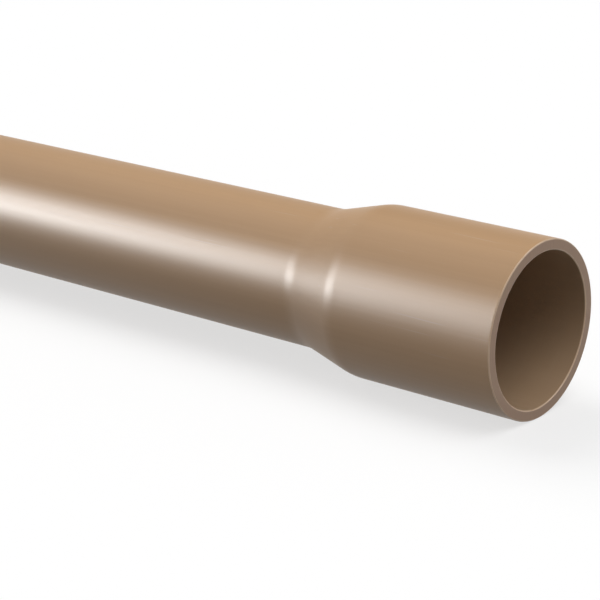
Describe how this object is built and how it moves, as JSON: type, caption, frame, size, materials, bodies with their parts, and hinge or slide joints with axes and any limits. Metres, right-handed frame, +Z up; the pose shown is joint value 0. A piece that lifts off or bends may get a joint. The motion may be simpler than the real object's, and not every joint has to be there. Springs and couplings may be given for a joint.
{
  "type": "pvc pipe",
  "caption": "Straight brown rigid PVC pressure pipe with a plain sawn end and a belled socket formed on the other end.",
  "frame": {"origin": "on the floor under the middle of the pipe's length", "axes": "+X along the pipe towards the socket's mouth, +Z up"},
  "size_m": [3, 0.0306, 0.0305],
  "materials": {
    "brown_pvc": "Rigid unplasticised PVC, brown all through, extruded and left as it comes: a satin skin with fine lines drawn along the pipe."
  },
  "bodies": {
    "root": {"pipe": "brown_pvc"}
  },
  "joints": []
}
